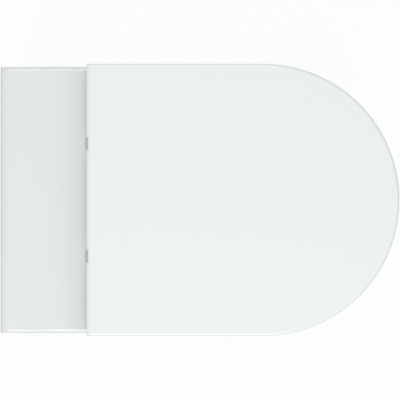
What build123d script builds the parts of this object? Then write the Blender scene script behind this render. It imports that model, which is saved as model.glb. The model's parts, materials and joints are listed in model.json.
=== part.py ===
"""Wall hung toilet with a top fixed, quick release, soft closing seat and lid.

Frame: millimetres, +Z up, the wall is the plane Y = 0 and the front faces -Y.
The origin is midway between the two wall studs, on the wall.
"""
from build123d import *
import os
from math import cos, pi, radians, sin, tan

os.makedirs("parts", exist_ok=True)

# Wall connections
stud_spacing = 180.0
stud_d = 12.0
stud_hole_d = 18.0
rim_height = 80.0
inlet_height = 35.0
outlet_drop = 100.0
inlet_bore_d = 55.0
flush_pipe_d = 45.0
inlet_setback = 10.0
outlet_d = 102.0
outlet_bore_d = 84.0
spigot_setback = 5.0
outlet_cone = 9.0
seal_length = 36.0
seal_flange = 3.0

# Ceramic pan
pan_width = 368.0
pan_depth = 546.5
pan_height = 330.0
foot_width = 210.0
foot_depth = 285.0
pan_steps = 9
side_bend = 2.2, 1.6
front_bend = 1.9, 1.3
pan_wall = 9.5
rim_thickness = 11.5
rim_round = 5.5
foot_round = 8.0
deck_round = 20.0
deck_round_past = 5.0
deck_crease = 56.0
deck_fall = 1.5
rear_lip = 22.0

# Bowl and water trap
bowl_width = 266.0
bowl_rear = 172.0
front_rim = 46.5
bowl_wall = 9.5
mouth_round = 7.0
sump_rear = 262.0
sump_length = 56.0
sump_width = 52.0
bowl_steps = 6
water_below_rim = 150.0
trap_seal = 50.0
trap_d = 60.0
trap_wall = 8.5
trap_bend = 45.0
trap_rise = 60.0
trap_fall = 45.0
trap_start = 293.0
slot_width = 120.0
slot_height = 14.0
slot_below_rim = 36.0
duct_wall = 8.5

# Wall fixings
web_setback = 36.0
web_thickness = 14.0
web_reach = 130.0
spigot_margin = 1.0
boss_wall = 11.0
sleeve_flange = 2.0
sleeve_flange_d = 28.0
washer_d = 34.0
washer_thickness = 2.5
nut_across_flats = 19.0
nut_height = 10.0
nut_chamfer = 0.8
access_d = 30.0
cap_d = 36.0
cap_thickness = 2.5
cap_recess = 6.0
cap_plug = 9.0

# Seat fixing and hinge feet
fixing_spacing = 155.0
fixing_from_wall = 137.0
fixing_hole_d = 16.0
foot_plate_width = 41.0
foot_plate_stretch = 15.0
foot_plate_height = 5.0
foot_gasket = 1.0
gasket_inset = 1.0
post_offset = 24.0
post_d = 9.0
post_height = 18.0
post_tenon_d = 6.0
groove_depth = 0.9
bolt_d = 6.0
bolt_head_d = 12.0
bolt_length = 42.0
socket_d = 4.6
plug_flare_d = 20.0
plug_length = 34.0
plug_taper = 8.0

# Hinge blocks and pins
axis_from_wall = 133.0
axis_height = 30.5
hub_d = 17.0
pin_d = 8.0
bush_d = 13.0
bush_end_wall = 3.0
pin_end_gap = 2.0
block_width = 16.0
block_top = 37.0
block_wall = 4.8
arm_height = 14.5
lug_width = 26.0
button_d = 9.0
button_height = 5.5
button_proud = 1.5
chamber_depth = 10.7
spring_d = 6.4
spring_wire = 0.8
spring_coils = 3

# Seat
seat_inset = 4.0
seat_rear = 178.0
seat_thickness = 18.0
seat_gap = 5.0
seat_hole_width = 226.0
seat_hole_rear = 214.0
seat_front_band = 58.0
seat_round = 7.0
seat_under_round = 2.5
seat_corner = 14.0

# Lid
lid_overhang = 3.5
lid_rear = 119.0
lid_height = 44.0
lid_skin = 4.0
lid_skirt = 4.5
lid_gap = 5.0
lid_rear_gap = 25.0
lid_rear_round = 7.0
lid_round = 4.0
notch_width = 17.0
notch_depth = 2.5

# Rubber buffers
buffer_d = 14.0
buffer_peg_d = 6.0
buffer_peg = 4.0
buffer_angle = 35.0
lid_buffer_height = 3.5
lid_boss_d = 18.0

# Clearances
running_fit = 0.05
play = 0.3
side_play = 0.5
block_window = 1.0

# Levels and places worked out from the sizes above
rim_z = rim_height
base_z = rim_z - pan_height
half_pan = pan_width / 2
bowl_front = pan_depth - front_rim
water_z = rim_z - water_below_rim
weir_z = water_z + trap_d / 2
dip_z = water_z - trap_seal - trap_d / 2
sump_z = dip_z - trap_d / 2
outlet_z = -outlet_drop
web_front = web_setback + web_thickness
spigot_length = web_setback - spigot_setback
shelf_z = rim_z - rim_thickness
spigot_foot = outlet_z - outlet_d / 2 - spigot_margin
access_y = -(web_front + cap_d / 2)
fixing_x = fixing_spacing / 2
fixing_y = -fixing_from_wall
foot_top = rim_z + foot_gasket + foot_plate_height
bolt_head_height = (bolt_head_d - bolt_d) / 2
post_y = fixing_y - post_offset
post_top = foot_top + post_height
axis_y = -axis_from_wall
axis_z = rim_z + axis_height
hub_r = hub_d / 2
block_z = rim_z + block_top
chamber_z = block_z - chamber_depth
button_z = block_z + button_proud - button_height
block_reach = post_d / 2 + running_fit + block_wall
seat_z = rim_z + seat_gap
seat_top = seat_z + seat_thickness
half_seat = half_pan - seat_inset
seat_front = pan_depth - seat_inset
lid_z = rim_z + lid_gap
lid_top = rim_z + lid_height
lid_inner = lid_top - lid_skin
half_lid = half_pan + lid_overhang
lid_front = pan_depth + lid_overhang
lug_near = block_width / 2 + side_play
lug_far = lug_near + lug_width
sides = {"left": -1, "right": 1}


def save(part, name):
    """Label one finished piece and write it."""
    part.label = name
    export_step(part, f"parts/{name}.step")


def d_profile(half_width, front, rear):
    """Draw a D: a straight rear and sides, and a half circle at the front."""
    shoulder = front - half_width
    with BuildLine() as outline:
        back = Polyline(
            (-half_width, -shoulder),
            (-half_width, -rear),
            (half_width, -rear),
            (half_width, -shoulder),
        )
        ThreePointArc(back @ 1, (0, -front), back @ 0)
    return make_face(outline.edges())


def pan_sections(inset, top, bottom, rear):
    """Stack D sections from top to bottom, tapering as quarters of superellipses."""
    for step in range(pan_steps + 1):
        share = (1 - cos(pi * step / pan_steps)) / 2
        side_fullness = (1 - share ** side_bend[0]) ** (1 / side_bend[1])
        front_fullness = (1 - share ** front_bend[0]) ** (1 / front_bend[1])
        half_width = foot_width / 2 + (half_pan - foot_width / 2) * side_fullness
        front = foot_depth + (pan_depth - foot_depth) * front_fullness
        with BuildSketch(Plane.XY.offset(top + (bottom - top) * share)) as section:
            d_profile(half_width - inset, front - inset, rear)
        add(section.sketch)


def bowl_sections(wall):
    """Stack oval sections from the rim to the sump, narrowing along a cosine."""
    for step in range(bowl_steps + 1):
        share = (1 - cos(pi * step / bowl_steps)) / 2
        half_width = bowl_width / 2 + (sump_width - bowl_width) / 2 * share
        rear = bowl_rear + (sump_rear - bowl_rear) * share
        front = bowl_front + (sump_rear + sump_length - bowl_front) * share
        height = rim_z + (sump_z - rim_z) * step / bowl_steps
        drop = wall if step == bowl_steps else 0
        with BuildSketch(Plane.XY.offset(height - drop)) as section:
            with Locations((0, -(rear + front) / 2)):
                Ellipse(half_width + wall, (front - rear) / 2 + wall)
        add(section.sketch)


def water_way(radius):
    """Lay the path of the water way in the plane X = 0 and a round section at its start."""
    rise = radians(trap_rise)
    fall = radians(trap_fall)
    corner = trap_bend / cos((rise + fall) / 2) * cos((rise - fall) / 2)
    weir_corner_z = weir_z - trap_bend + corner
    weir_y = -web_front - (weir_corner_z - outlet_z) / tan(fall)
    dip_y = weir_y - (weir_corner_z - dip_z) / tan(rise)
    with BuildLine(Plane.YZ) as route:
        FilletPolyline(
            (-trap_start, dip_z),
            (dip_y, dip_z),
            (weir_y, weir_corner_z),
            (-web_front, outlet_z),
            (-spigot_setback, outlet_z),
            radius=trap_bend,
        )
    with BuildSketch(Plane(origin=route.line @ 0, z_dir=route.line % 0)) as section:
        Circle(radius)
    add(section.sketch)
    return route.line


def flush_duct(wall):
    """Stack the round flush inlet and the flat slot in the rear of the bowl."""
    with BuildSketch(Plane.XZ.offset(web_front)) as inlet:
        with Locations((0, inlet_height)):
            Circle(inlet_bore_d / 2 + wall)
    with BuildSketch(Plane.XZ.offset(bowl_rear + bowl_wall)) as slot:
        with Locations((0, rim_z - slot_below_rim)):
            Ellipse(slot_width / 2 + wall, slot_height / 2 + wall)
    add(inlet.sketch)
    add(slot.sketch)


# Outer form of the pan: a taper under a flat rim and a deck that falls to the wall
with BuildPart() as pan_form:
    pan_sections(0, rim_z, base_z, 0)
    loft()
    with BuildSketch(Plane.YZ):
        with BuildLine():
            Polyline(
                (deck_round_past, base_z),
                (deck_round_past, rim_z - deck_fall),
                (-deck_crease, rim_z),
                (-pan_depth - pan_wall, rim_z),
                (-pan_depth - pan_wall, base_z),
                close=True,
            )
        side_view = make_face()
        fillet(side_view.vertices().group_by(Axis.X)[-1].sort_by(Axis.Y)[-1], deck_round)
    extrude(amount=pan_width, both=True, mode=Mode.INTERSECT)
    top_edges = pan_form.edges().filter_by(lambda edge: edge.bounding_box().min.Z > rim_z - deck_round)
    across = top_edges.filter_by(GeomType.LINE).filter_by(Axis.X)
    fillet(top_edges - across, rim_round)
    foot_edges = pan_form.edges().group_by(Axis.Z)[0]
    fillet(foot_edges.filter_by(lambda edge: edge.center().Y < -foot_round), foot_round)

# Hollow of the pan, open to the wall under a thicker rear lip
with BuildPart() as pan_hollow:
    pan_sections(pan_wall, rim_z - rim_thickness, base_z + pan_wall, -pan_wall)
    loft()

# What stands inside the hollow: bowl, water way, flush duct, rear web, stud bosses and lip
with BuildPart() as pan_core:
    bowl_sections(bowl_wall)
    loft()
    path = water_way(trap_d / 2 + trap_wall)
    sweep(path=path)
    with BuildSketch(Plane.XZ.offset(spigot_setback)):
        with Locations((0, outlet_z)):
            Circle(outlet_d / 2)
    extrude(amount=spigot_length)
    flush_duct(duct_wall)
    loft()
    with BuildSketch(Plane.XZ.offset(inlet_setback)):
        with Locations((0, inlet_height)):
            Circle(inlet_bore_d / 2 + boss_wall)
    extrude(amount=web_front - inlet_setback)
    web_low = outlet_z + outlet_d / 2 - pan_wall
    with BuildSketch(Plane.XZ.offset(web_setback)):
        with Locations((0, (rim_z + web_low) / 2)):
            Rectangle(pan_width, rim_z - web_low)
    extrude(amount=web_thickness)
    with BuildSketch(Plane.XZ):
        with GridLocations(stud_spacing, 0, 2, 1):
            Circle(stud_hole_d / 2 + boss_wall)
    extrude(amount=web_front)
    with BuildSketch(Plane.XZ):
        with Locations((0, rim_z - (rim_thickness + rear_lip) / 2)):
            Rectangle(pan_width, rim_thickness + rear_lip)
    extrude(amount=rear_lip)
    add(pan_form.part, mode=Mode.INTERSECT)

with BuildPart() as ceramic_pan:
    add(pan_form.part)
    add(pan_hollow.part, mode=Mode.SUBTRACT)
    add(pan_core.part)
    # Bowl, water way and flush duct
    bowl_sections(0)
    loft(mode=Mode.SUBTRACT)
    rim_edges = ceramic_pan.edges().filter_by(lambda edge: edge.bounding_box().min.Z > rim_z - play)
    fillet(rim_edges.filter_by(GeomType.BSPLINE), mouth_round)
    path = water_way(trap_d / 2)
    sweep(path=path, mode=Mode.SUBTRACT)
    # Outlet spigot, opening from the water way to the waste connector
    with BuildSketch(Plane.XZ):
        with Locations((0, outlet_z)):
            Circle(outlet_bore_d / 2)
    extrude(amount=spigot_setback + spigot_length / 2, mode=Mode.SUBTRACT)
    with BuildSketch(Plane.XZ.offset(spigot_setback + spigot_length / 2)):
        with Locations((0, outlet_z)):
            Circle(outlet_bore_d / 2)
    with BuildSketch(Plane.XZ.offset(spigot_setback + spigot_length / 2 + outlet_cone)):
        with Locations((0, outlet_z)):
            Circle(trap_d / 2 - running_fit)
    loft(ruled=True, mode=Mode.SUBTRACT)
    # Flush inlet and the duct to the slot in the rear of the bowl
    with BuildSketch(Plane.XZ):
        with Locations((0, inlet_height)):
            Circle(inlet_bore_d / 2)
    extrude(amount=web_front, mode=Mode.SUBTRACT)
    with BuildSketch(Plane.XZ):
        with Locations((0, inlet_height)):
            Circle(inlet_bore_d / 2 + seal_flange + play)
    extrude(amount=inlet_setback, mode=Mode.SUBTRACT)
    flush_duct(0)
    loft(mode=Mode.SUBTRACT)
    # Stud holes
    with BuildSketch(Plane.XZ):
        with GridLocations(stud_spacing, 0, 2, 1):
            Circle(stud_hole_d / 2)
    extrude(amount=web_front, mode=Mode.SUBTRACT)
    # Side holes to reach the nuts, each with a flat recess for its cap
    for side in sides.values():
        with BuildSketch(Plane.YZ.offset(side * half_pan)):
            with Locations((access_y, 0)):
                Circle(cap_d / 2 + play)
        extrude(amount=-side * cap_recess, mode=Mode.SUBTRACT)
        with BuildSketch(Plane.YZ.offset(side * half_pan)):
            with Locations((access_y, 0)):
                Circle(access_d / 2)
        extrude(amount=-side * (cap_recess + 3 * pan_wall), mode=Mode.SUBTRACT)
    # Seat fixing holes
    with BuildSketch(Plane.XY.offset(rim_z)):
        with Locations((0, fixing_y)):
            with GridLocations(fixing_spacing, 0, 2, 1):
                Circle(fixing_hole_d / 2)
    extrude(amount=-2 * rim_thickness, mode=Mode.SUBTRACT)

# The ware is one fired body, kept as three nodes that meet on flat faces: the middle of the rear
# web with its connections, the bowl with its water way and duct, and the shell with the rim
with BuildPart() as web_space:
    with BuildSketch(Plane.XZ):
        with Locations((0, (shelf_z + spigot_foot) / 2)):
            Rectangle(2 * web_reach, shelf_z - spigot_foot)
    extrude(amount=web_front)

with BuildPart() as pan_web:
    add(ceramic_pan.part)
    add(web_space.part, mode=Mode.INTERSECT)
save(pan_web.part, "pan_web")

with BuildPart() as under_rim:
    add(ceramic_pan.part)
    with BuildSketch(Plane.XY.offset(shelf_z)):
        with Locations((0, -(web_front + pan_depth) / 2)):
            Rectangle(pan_width, pan_depth - web_front)
    extrude(amount=-pan_height, mode=Mode.INTERSECT)
pan_bowl = under_rim.solids().sort_by(lambda solid: solid.bounding_box().size.X)[0]
save(pan_bowl, "pan_bowl")

with BuildPart() as pan_shell:
    add(ceramic_pan.part)
    add(web_space.part, mode=Mode.SUBTRACT)
    add(pan_bowl, mode=Mode.SUBTRACT)
save(pan_shell.part, "pan_shell")

# Rubber seal for the flush pipe, with a flange against the end of the inlet
with BuildPart() as flush_inlet_seal:
    with BuildSketch(Plane.XZ.offset(inlet_setback)):
        with Locations((0, inlet_height)):
            Circle(inlet_bore_d / 2)
            Circle(flush_pipe_d / 2, mode=Mode.SUBTRACT)
    extrude(amount=seal_length)
    with BuildSketch(Plane.XZ.offset(inlet_setback)):
        with Locations((0, inlet_height)):
            Circle(inlet_bore_d / 2 + seal_flange)
            Circle(flush_pipe_d / 2, mode=Mode.SUBTRACT)
    extrude(amount=-seal_flange)
    rims = flush_inlet_seal.edges().filter_by(GeomType.CIRCLE).group_by(Axis.Y)[-1]
    fillet(rims.sort_by(SortBy.RADIUS)[-1], seal_flange / 3)
save(flush_inlet_seal.part, "flush_inlet_seal")

# Wall fixings: a sleeve through the rear web, then a washer and a nut in front of it
for name, side in sides.items():
    stud_x = side * stud_spacing / 2
    with BuildPart() as fixing_sleeve:
        with BuildSketch(Plane.XZ):
            with Locations((stud_x, 0)):
                Circle(stud_hole_d / 2 - play)
        extrude(amount=web_front)
        with BuildSketch(Plane.XZ.offset(web_front)):
            with Locations((stud_x, 0)):
                Circle(sleeve_flange_d / 2)
        extrude(amount=sleeve_flange)
        with BuildSketch(Plane.XZ.offset(web_front + sleeve_flange)):
            with Locations((stud_x, 0)):
                Circle(stud_d / 2 + play)
        extrude(amount=-sleeve_flange - web_front, mode=Mode.SUBTRACT)
    save(fixing_sleeve.part, f"fixing_sleeve_{name}")

    with BuildPart() as fixing_washer:
        with BuildSketch(Plane.XZ.offset(web_front + sleeve_flange)):
            with Locations((stud_x, 0)):
                Circle(washer_d / 2)
                Circle(stud_d / 2 + play, mode=Mode.SUBTRACT)
        extrude(amount=washer_thickness)
        rims = fixing_washer.edges().filter_by(GeomType.CIRCLE).sort_by(SortBy.RADIUS)[-2:]
        chamfer(rims, washer_thickness / 6)
    save(fixing_washer.part, f"fixing_washer_{name}")

    with BuildPart() as fixing_nut:
        with BuildSketch(Plane.XZ.offset(web_front + sleeve_flange + washer_thickness)):
            with Locations((stud_x, 0)):
                Circle(nut_across_flats / 2 / cos(radians(30)))
        extrude(amount=nut_height)
        chamfer(fixing_nut.edges().filter_by(GeomType.CIRCLE), nut_chamfer)
        with BuildSketch(Plane.XZ.offset(web_front + sleeve_flange + washer_thickness)):
            with Locations((stud_x, 0)):
                RegularPolygon(nut_across_flats / 2, 6, major_radius=False)
                Circle(stud_d / 2 + running_fit, mode=Mode.SUBTRACT)
        extrude(amount=nut_height, mode=Mode.INTERSECT)
    save(fixing_nut.part, f"fixing_nut_{name}")

    # Cap of the side hole, flush with the side of the pan, on a short hollow plug
    with BuildPart() as access_cap:
        seat_x = side * (half_pan - cap_recess)
        with BuildSketch(Plane.YZ.offset(seat_x)):
            with Locations((access_y, 0)):
                Circle(cap_d / 2)
        extrude(amount=side * cap_thickness)
        face_rim = access_cap.edges().sort_by(Axis.X)[-1 if side > 0 else 0]
        fillet(face_rim, cap_thickness / 3)
        with BuildSketch(Plane.YZ.offset(seat_x)):
            with Locations((access_y, 0)):
                Circle(access_d / 2 - play)
                Circle(access_d / 2 - play - cap_thickness, mode=Mode.SUBTRACT)
        extrude(amount=-side * cap_plug)
    save(access_cap.part, f"access_cap_{name}")


def seat_buffer_places():
    """Give the four places of the seat buffers, midway across the rim of the pan."""
    band = (half_pan + bowl_width / 2) / 2
    middle = pan_depth - half_pan
    rear_y = -(seat_rear + seat_thickness + buffer_d)
    reach = half_pan - front_rim / 2
    front_x = reach * sin(radians(buffer_angle))
    front_y = -middle - reach * cos(radians(buffer_angle))
    return [(side * band, rear_y) for side in (-1, 1)] + [(side * front_x, front_y) for side in (-1, 1)]


def lid_buffer_places():
    """Give the four places of the lid buffers, midway across the seat ring."""
    band = (half_seat + seat_hole_width / 2) / 2
    middle = seat_front - half_seat
    rear_y = -(seat_rear + 2 * seat_thickness + 2 * buffer_d)
    reach = half_seat - seat_front_band / 2
    front_x = reach * sin(radians(buffer_angle))
    front_y = -middle - reach * cos(radians(buffer_angle))
    return [(side * band, rear_y) for side in (-1, 1)] + [(side * front_x, front_y) for side in (-1, 1)]


def foot_outline(inset):
    """Draw the oval outline of a hinge foot, from the seat fixing hole forwards."""
    with Locations((0, -foot_plate_stretch / 2)):
        return SlotCenterToCenter(foot_plate_stretch, foot_plate_width - 2 * inset, rotation=90)


def coil_spring(x, y, low, high):
    """Sweep one unbroken wire along tilted half turns, climbing from low to high."""
    half_turns = 2 * spring_coils
    radius = (spring_d - spring_wire) / 2
    start_z = low + spring_wire / 2
    climb = (high - low - spring_wire) / half_turns
    bow = (radius**2 + (climb / 2) ** 2) ** 0.5
    with BuildLine() as wire:
        for turn in range(half_turns):
            way = 1 if turn % 2 == 0 else -1
            z = start_z + turn * climb
            ThreePointArc(
                (x + way * radius, y, z),
                (x, y + way * bow, z + climb / 2),
                (x - way * radius, y, z + climb),
            )
    with BuildSketch(Plane(origin=wire.line @ 0, z_dir=wire.line % 0)) as section:
        Circle(spring_wire / 2)
    add(section.sketch)
    sweep(path=wire.line)


# Hinge feet, fixed from above through the two holes in the deck
for name, side in sides.items():
    x = side * fixing_x
    with BuildPart() as hinge_gasket:
        with BuildSketch(Plane((x, fixing_y, rim_z))):
            foot_outline(gasket_inset)
            Circle(bolt_d / 2 + play, mode=Mode.SUBTRACT)
        extrude(amount=foot_gasket)
    save(hinge_gasket.part, f"hinge_gasket_{name}")

    with BuildPart() as hinge_base:
        with BuildSketch(Plane((x, fixing_y, rim_z + foot_gasket))):
            foot_outline(0)
        extrude(amount=foot_plate_height)
        fillet(hinge_base.edges().group_by(Axis.Z)[-1], foot_plate_height / 4)
        with Locations(Plane((x, fixing_y, foot_top))):
            CounterSinkHole(bolt_d / 2 + play, bolt_head_d / 2, counter_sink_angle=90)
        with Locations(Plane((x, post_y, foot_top))):
            Hole(post_tenon_d / 2)
    save(hinge_base.part, f"hinge_base_{name}")

    with BuildPart() as hinge_bolt:
        with BuildSketch(Plane((x, fixing_y, foot_top))):
            Circle(bolt_head_d / 2)
        extrude(amount=-bolt_head_height, taper=45)
        with BuildSketch(Plane((x, fixing_y, foot_top - bolt_head_height))):
            Circle(bolt_d / 2)
        extrude(amount=bolt_head_height - bolt_length)
        chamfer(hinge_bolt.edges().group_by(Axis.Z)[0], bolt_d / 8)
        with BuildSketch(Plane((x, fixing_y, foot_top))):
            RegularPolygon(socket_d / 2, 6, major_radius=False)
        extrude(amount=-socket_d / 2, mode=Mode.SUBTRACT)
    save(hinge_bolt.part, f"hinge_bolt_{name}")

    # Plug that the bolt spreads under the deck
    with BuildPart() as expansion_plug:
        with BuildSketch(Plane((x, fixing_y, rim_z))):
            Circle(fixing_hole_d / 2 - play)
        extrude(amount=-rim_thickness)
        with BuildSketch(Plane((x, fixing_y, rim_z - rim_thickness))):
            Circle(plug_flare_d / 2)
        extrude(amount=rim_thickness - plug_length, taper=plug_taper)
        with BuildSketch(Plane((x, fixing_y, rim_z))):
            Circle(bolt_d / 2)
        extrude(amount=-plug_length, mode=Mode.SUBTRACT)
    save(expansion_plug.part, f"expansion_plug_{name}")

    # Grooved post with a tenon in the foot plate
    with BuildPart() as hinge_post:
        with BuildSketch(Plane((x, post_y, rim_z + foot_gasket))):
            Circle(post_tenon_d / 2)
        extrude(amount=foot_plate_height)
        with BuildSketch(Plane((x, post_y, foot_top))):
            Circle(post_d / 2)
        extrude(amount=post_height)
        chamfer(hinge_post.edges().group_by(Axis.Z)[-1], post_d / 6)
        with BuildSketch(Plane((x, post_y, post_top - post_d / 2))):
            Circle(post_d / 2)
            Circle(post_d / 2 - groove_depth, mode=Mode.SUBTRACT)
        extrude(amount=-2 * groove_depth, mode=Mode.SUBTRACT)
    save(hinge_post.part, f"hinge_post_{name}")

    # Block that drops over the post and carries the pin
    with BuildPart() as hinge_block:
        with BuildSketch(Plane.YZ.offset(x)):
            with Locations((axis_y, axis_z)):
                Circle(hub_r)
            with BuildLine():
                Polyline(
                    (axis_y, axis_z + hub_r - play),
                    (post_y + block_reach, block_z),
                    (post_y - block_reach, block_z),
                    (post_y - block_reach, foot_top + play),
                    (post_y + block_reach, foot_top + play),
                    (post_y + block_reach, block_z - arm_height),
                    (axis_y, block_z - arm_height),
                    close=True,
                )
            make_face()
        extrude(amount=block_width / 2, both=True)
        front = hinge_block.edges().filter_by(Axis.X).group_by(Axis.Y)[0]
        fillet(front.sort_by(Axis.Z)[-1], block_wall / 2)
        uprights = hinge_block.edges().filter_by(Axis.Z)
        fillet(uprights.group_by(Axis.Y)[0], block_wall / 2)
        with BuildSketch(Plane.YZ.offset(x - block_width / 2)):
            with Locations((axis_y, axis_z)):
                Circle(pin_d / 2)
        extrude(amount=block_width, mode=Mode.SUBTRACT)
        with BuildSketch(Plane((x, post_y, foot_top))):
            Circle(post_d / 2 + running_fit)
        extrude(amount=post_height + play, mode=Mode.SUBTRACT)
        with BuildSketch(Plane((x, post_y, block_z))):
            Circle(button_d / 2 + running_fit)
        extrude(amount=-chamber_depth, mode=Mode.SUBTRACT)
    save(hinge_block.part, f"hinge_block_{name}")

    with BuildPart() as release_button:
        with BuildSketch(Plane((x, post_y, button_z))):
            Circle(button_d / 2)
        extrude(amount=button_height)
        fillet(release_button.edges().group_by(Axis.Z)[-1], button_proud / 2)
    save(release_button.part, f"release_button_{name}")

    with BuildPart() as release_spring:
        coil_spring(x, post_y, chamber_z, button_z)
    save(release_spring.part, f"release_spring_{name}")

    with BuildPart() as hinge_pin:
        pin_length = 2 * (lug_far - bush_end_wall - pin_end_gap)
        with BuildSketch(Plane.YZ.offset(x - pin_length / 2)):
            with Locations((axis_y, axis_z)):
                Circle(pin_d / 2)
        extrude(amount=pin_length)
        chamfer(hinge_pin.edges().filter_by(GeomType.CIRCLE), pin_d / 10)
    save(hinge_pin.part, f"hinge_pin_{name}")


def lug_start(side, inward):
    """Give the near face of a lug and the way it runs: inboard for the seat, outboard for the lid."""
    way = -side if inward else side
    return side * fixing_x + way * lug_near, way


def hub_bore(side, inward):
    """Cut the blind bore of a lug that takes its bush or damper."""
    start, way = lug_start(side, inward)
    with BuildSketch(Plane.YZ.offset(start)) as section:
        with Locations((axis_y, axis_z)):
            Circle(bush_d / 2)
    extrude(section.sketch, amount=way * (lug_width - bush_end_wall), mode=Mode.SUBTRACT)


def turning_sleeve(side, inward, closed_end):
    """Make the sleeve on the pin: a plain bush, or a damper with a closed end."""
    start, way = lug_start(side, inward)
    length = lug_width - bush_end_wall
    with BuildPart() as sleeve:
        with BuildSketch(Plane.YZ.offset(start)):
            with Locations((axis_y, axis_z)):
                Circle(bush_d / 2)
        extrude(amount=way * length)
        with BuildSketch(Plane.YZ.offset(start)):
            with Locations((axis_y, axis_z)):
                Circle(pin_d / 2 + running_fit)
        extrude(amount=way * (length - closed_end), mode=Mode.SUBTRACT)
    return sleeve.part


save(turning_sleeve(sides["left"], True, pin_end_gap / 2), "seat_damper")
save(turning_sleeve(sides["right"], True, 0), "seat_bush")
save(turning_sleeve(sides["right"], False, pin_end_gap / 2), "lid_damper")
save(turning_sleeve(sides["left"], False, 0), "lid_bush")

# Seat: a D shaped ring with an oval hole, carried by two cranked lugs
seat_hole_front = seat_front - seat_front_band
seat_hole_y = -(seat_hole_rear + seat_hole_front) / 2
with BuildPart() as seat_ring:
    with BuildSketch(Plane.XY.offset(seat_z)):
        d_profile(half_seat, seat_front, seat_rear)
    extrude(amount=seat_thickness)
    corners = seat_ring.edges().filter_by(Axis.Z).group_by(Axis.Y)[-1]
    fillet(corners, seat_corner)
    with BuildSketch(Plane.XY.offset(seat_z)):
        with Locations((0, seat_hole_y)):
            Ellipse(seat_hole_width / 2, (seat_hole_front - seat_hole_rear) / 2)
    extrude(amount=seat_thickness, mode=Mode.SUBTRACT)
    fillet(seat_ring.edges().group_by(Axis.Z)[-1], seat_round)
    fillet(seat_ring.edges().group_by(Axis.Z)[0], seat_under_round)
    for side in sides.values():
        start, way = lug_start(side, True)
        with BuildSketch(Plane.YZ.offset(start)):
            with Locations((axis_y, axis_z)):
                Circle(hub_r)
            with BuildLine():
                Polyline(
                    (axis_y, axis_z + hub_r - play),
                    (axis_y - hub_d, axis_z + hub_r / 2),
                    (-seat_rear - seat_thickness, seat_top - seat_under_round),
                    (-seat_rear - seat_thickness, seat_z + seat_round),
                    (-seat_rear, seat_z + seat_under_round),
                    (axis_y - hub_d, axis_z - hub_r + play),
                    (axis_y, axis_z - hub_r + play),
                    close=True,
                )
            make_face()
        extrude(amount=way * lug_width)
        hub_bore(side, True)
    # Peg holes of the buffers
    with BuildSketch(Plane.XY.offset(seat_z)):
        with Locations(*seat_buffer_places()):
            Circle(buffer_peg_d / 2)
    extrude(amount=buffer_peg, mode=Mode.SUBTRACT)
save(seat_ring.part, "seat_ring")

# Lid: a D shaped shell with a rounded rear edge, a low rear wall and two lugs
with BuildPart() as lid:
    with BuildSketch(Plane.XY.offset(lid_z)):
        d_profile(half_lid, lid_front, lid_rear)
    extrude(amount=lid_top - lid_z)
    with BuildSketch(Plane.YZ):
        with BuildLine():
            Polyline(
                (-lid_rear, lid_z),
                (-lid_rear, lid_top),
                (-lid_front, lid_top),
                (-lid_front, lid_z),
                close=True,
            )
        side_view = make_face()
        rear_top = side_view.vertices().group_by(Axis.X)[-1].sort_by(Axis.Y)[-1]
        fillet(rear_top, lid_rear_round)
    extrude(amount=pan_width, both=True, mode=Mode.INTERSECT)
    top_edges = lid.edges().filter_by(lambda edge: edge.center().Z > lid_top - lid_rear_round)
    across = top_edges.filter_by(GeomType.LINE).filter_by(Axis.X)
    fillet(top_edges - across, lid_round)
    # Hollow under the top, then the low part of the rear wall
    with BuildSketch(Plane.XY.offset(lid_z)):
        d_profile(half_lid - lid_skirt, lid_front - lid_skirt, lid_rear + lid_skirt)
    extrude(amount=lid_inner - lid_z, mode=Mode.SUBTRACT)
    with BuildSketch(Plane.XZ.offset(lid_rear)):
        with Locations((0, (lid_z + rim_z + lid_rear_gap) / 2)):
            Rectangle(2 * (half_lid - lid_skirt), rim_z + lid_rear_gap - lid_z)
    extrude(amount=lid_skirt, mode=Mode.SUBTRACT)
    for side in sides.values():
        # Window in the rear wall for the hinge block, under a shallow notch in the top
        with BuildSketch(Plane.XZ.offset(lid_rear)):
            with Locations((side * fixing_x, (lid_z + lid_inner) / 2)):
                Rectangle(block_width + 2 * block_window, lid_inner - lid_z)
        extrude(amount=lid_skirt, mode=Mode.SUBTRACT)
        with BuildSketch(Plane.XY.offset(lid_z)):
            with Locations((side * fixing_x, -lid_rear - notch_depth / 2)):
                Rectangle(notch_width, notch_depth)
        extrude(amount=lid_top - lid_z, mode=Mode.SUBTRACT)
        start, way = lug_start(side, False)
        with BuildSketch(Plane.YZ.offset(start)):
            with Locations((axis_y, axis_z)):
                Circle(hub_r)
            with Locations((axis_y, (axis_z + lid_inner) / 2)):
                Rectangle(hub_d, lid_inner - axis_z)
        extrude(amount=way * lug_width)
        hub_bore(side, False)
    # Bosses of the buffers
    with BuildSketch(Plane.XY.offset(lid_inner)):
        with Locations(*lid_buffer_places()):
            Circle(lid_boss_d / 2)
    extrude(amount=seat_top + play + lid_buffer_height - lid_inner)
    with BuildSketch(Plane.XY.offset(seat_top + play + lid_buffer_height)):
        with Locations(*lid_buffer_places()):
            Circle(buffer_peg_d / 2)
    extrude(amount=buffer_peg, mode=Mode.SUBTRACT)
save(lid.part, "lid")

# Rubber buffers, each with a peg pressed into its hole
with BuildPart() as seat_buffers:
    with BuildSketch(Plane.XY.offset(seat_z)):
        with Locations(*seat_buffer_places()):
            Circle(buffer_d / 2)
    extrude(amount=play - seat_gap)
    fillet(seat_buffers.edges().group_by(Axis.Z)[0], seat_gap / 4)
    with BuildSketch(Plane.XY.offset(seat_z)):
        with Locations(*seat_buffer_places()):
            Circle(buffer_peg_d / 2)
    extrude(amount=buffer_peg)
save(seat_buffers.part, "seat_buffers")

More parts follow.
